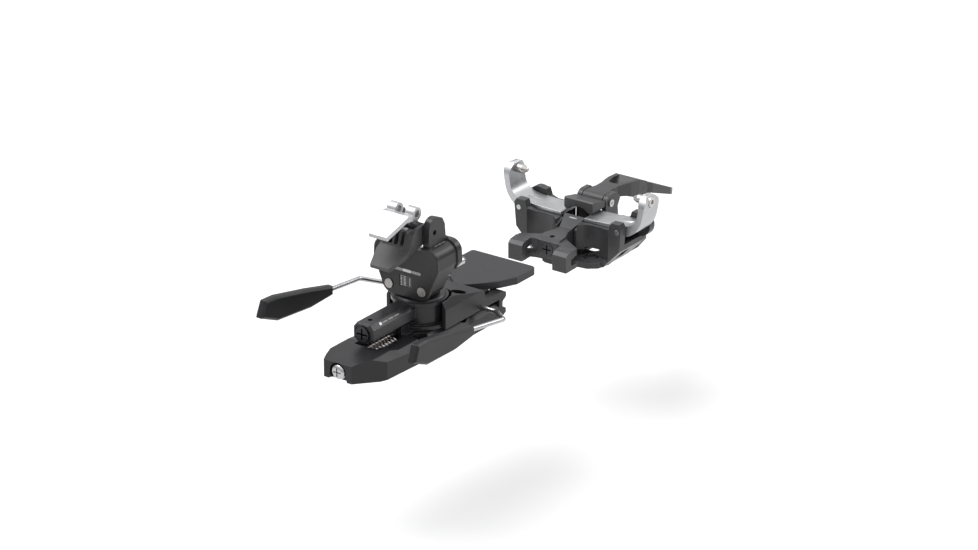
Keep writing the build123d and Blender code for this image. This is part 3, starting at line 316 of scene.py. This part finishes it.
def screw_thread(name, start, end, y_axis_at, root, crest, pitch, finish, body):
    """A threaded rod along y: the radius swings between root and crest with the phase angle - 2 pi y / pitch,
    and both ends run down to the axis."""
    x0, z0 = y_axis_at
    rows = int((end - start) / pitch * 8) + 1
    y = np.linspace(start, end, rows)[:, None]
    turn = np.linspace(0, 2 * np.pi, 25)[None, :-1]
    phase = turn - 2 * np.pi * y / pitch
    radius = root + (crest - root) * (0.5 + 0.5 * np.cos(phase)) ** 0.8
    y = np.concatenate([y[:1], y, y[-1:]])
    radius = np.concatenate([0 * radius[:1], radius, 0 * radius[:1]])
    points = np.stack([x0 + radius * np.cos(turn), y + 0 * turn, z0 - radius * np.sin(turn)], -1) * MM
    return grid_mesh(name, points, finish, body, closed_v=True)


# ---- printed marks and thread ---------------------------------------------------------------
COVER_FACE, WINDOW_FACE = -173.33, -173.02   # y of the rear cover's face and of the scale window's
STRIPE_Z = 47.0
TICK_ROWS = np.linspace(37.8, 43.0, 7)
X_AXIS, Y_AXIS, Z_AXIS = (1, 0, 0), (0, 1, 0), (0, 0, 1)
BARREL_X, BARREL_Z = 5.63, 27.0               # on the barrel's sloping right flank
BARREL_UP = (-0.63, 0, 0.776)                 # up along that flank
HOUSING_X, HOUSING_TOP = 16.0, 63.03
SPINE_MARK, SPINE_UP = (0, -7.6, 23.56), (0, 0.905, 0.425)

joined([ink_patch("stripe", (x, COVER_FACE, STRIPE_Z), X_AXIS, Z_AXIS, 3.1, 0.85, ink, "turret")
        for x, ink in ((-5.3, ink_grey), (1.1, ink_white), (7.5, ink_grey))], "cover_stripe")
joined([ink_patch("tick", (x, WINDOW_FACE, z), X_AXIS, Z_AXIS, half, 0.14, ink_white, "turret")
        for z in TICK_ROWS for x, half in ((-2.9, 0.55), (-0.6, 0.8))]
       + [ink_patch("bracket", (2.9, WINDOW_FACE, 40.4), X_AXIS, Z_AXIS, 0.14, 2.6, ink_white, "turret")],
       "scale_ticks")
joined([ink_patch("dash", (BARREL_X, y, BARREL_Z), Y_AXIS, BARREL_UP, half_w, half_h, ink, "carriage")
        for y, half_w, half_h, ink in ((-204.0, 1.0, 0.8, ink_white), (-199.9, 2.2, 0.28, ink_grey),
                                       (-194.6, 2.2, 0.28, ink_grey), (-189.3, 2.2, 0.28, ink_grey))],
       "barrel_dashes")
ink_patch("spine_dash", SPINE_MARK, X_AXIS, SPINE_UP, 2.6, 0.45, ink_grey, "frame")
joined([ink_patch("dash", (HOUSING_X, y, HOUSING_TOP), Y_AXIS, (-1, 0, 0), 1.3, 0.3, ink_grey, "turret")
        for y in (-166.0, -162.6, -159.2)], "housing_dashes")

SCREW_AXIS, ROOT_R, CREST_R, PITCH = (0, 7.9), 2.2, 2.75, 1.25
screw_thread("length_screw_thread", -210.4, -184.8, SCREW_AXIS, ROOT_R, CREST_R, PITCH, steel,
             "length_screw")


# ---- studio ---------------------------------------------------------------------------------
def floor_sheet(name, half, level):
    """A flat sheet: a square grid at one height."""
    cuts = 8
    side = np.linspace(-half, half, cuts + 1)
    x, y = np.meshgrid(side, side, indexing="ij")
    mesh = bpy.data.meshes.new(name)
    first = np.arange(cuts * cuts).reshape(cuts, cuts) + np.arange(cuts)[:, None]
    faces = np.stack([first, first + cuts + 1, first + cuts + 2, first + 1], -1).reshape(-1, 4)
    mesh.from_pydata(np.stack([x, y, np.full_like(x, level)], -1).reshape(-1, 3).tolist(), [], faces.tolist())
    sheet = bpy.data.objects.new(name, mesh)
    bpy.context.scene.collection.objects.link(sheet)
    g = Graph("floor_white")
    tone = g.blend_colours(g.noise(3.0, 2), (0.66, 0.66, 0.66), (0.68, 0.68, 0.68))
    g.link(tone, g.shader.inputs["Base Color"])
    g.shader.inputs["Roughness"].default_value = 0.9
    g.shader.inputs["Specular IOR Level"].default_value = 0.0
    mesh.materials.append(g.material)


def soft_box(name, place, aim, size, watts):
    light = bpy.data.lights.new(name, "AREA")
    light.shape = "RECTANGLE"
    light.size, light.size_y = size
    light.energy = watts
    lamp = bpy.data.objects.new(name, light)
    lamp.location = place
    lamp.rotation_euler = (Vector(aim) - Vector(place)).to_track_quat("-Z", "Y").to_euler()
    bpy.context.scene.collection.objects.link(lamp)


FLOOR_HALF, FLOOR_LEVEL = 9.0, -0.095   # low enough for the lowered brake arms to clear it
floor_sheet("floor", FLOOR_HALF, FLOOR_LEVEL)
soft_box("key_light", (-0.7, -0.5, 1.7), (0, -0.1, 0.02), (1.1, 1.1), 26)
soft_box("rim_light", (0.9, 1.2, 1.0), (0, -0.1, 0.02), (1.0, 0.5), 7)

world = bpy.data.worlds.new("studio")
bpy.context.scene.world = world
world.use_nodes = True
sky = world.node_tree
backdrop = sky.nodes["Background"]
ramp = sky.nodes.new("ShaderNodeValToRGB")
ramp.color_ramp.elements[0].position = 0.46
ramp.color_ramp.elements[0].color = (0.11, 0.11, 0.115, 1)
ramp.color_ramp.elements[1].position = 0.85
ramp.color_ramp.elements[1].color = (1.45, 1.45, 1.465, 1)
split = sky.nodes.new("ShaderNodeSeparateXYZ")
level = sky.nodes.new("ShaderNodeMapRange")
level.inputs["From Min"].default_value = -1.0
sky.links.new(sky.nodes.new("ShaderNodeTexCoord").outputs["Generated"], split.inputs[0])
sky.links.new(split.outputs["Z"], level.inputs["Value"])
sky.links.new(level.outputs[0], ramp.inputs[0])
sky.links.new(ramp.outputs[0], backdrop.inputs["Color"])

AZIMUTH, ELEVATION, DISTANCE = math.radians(35.5), math.radians(23.0), 2.275
target = Vector((0, -0.09304, 0.01644))
back = Vector((math.sin(AZIMUTH) * math.cos(ELEVATION), -math.cos(AZIMUTH) * math.cos(ELEVATION),
               math.sin(ELEVATION)))
lens = bpy.data.cameras.new("camera")
lens.lens, lens.sensor_width, lens.clip_end = 145.7, 36.0, 50.0
camera = bpy.data.objects.new("camera", lens)
camera.location = target + back * DISTANCE
camera.rotation_euler = (-back).to_track_quat("-Z", "Y").to_euler()
bpy.context.scene.collection.objects.link(camera)
bpy.context.scene.camera = camera
bpy.context.scene.view_settings.view_transform = "Standard"
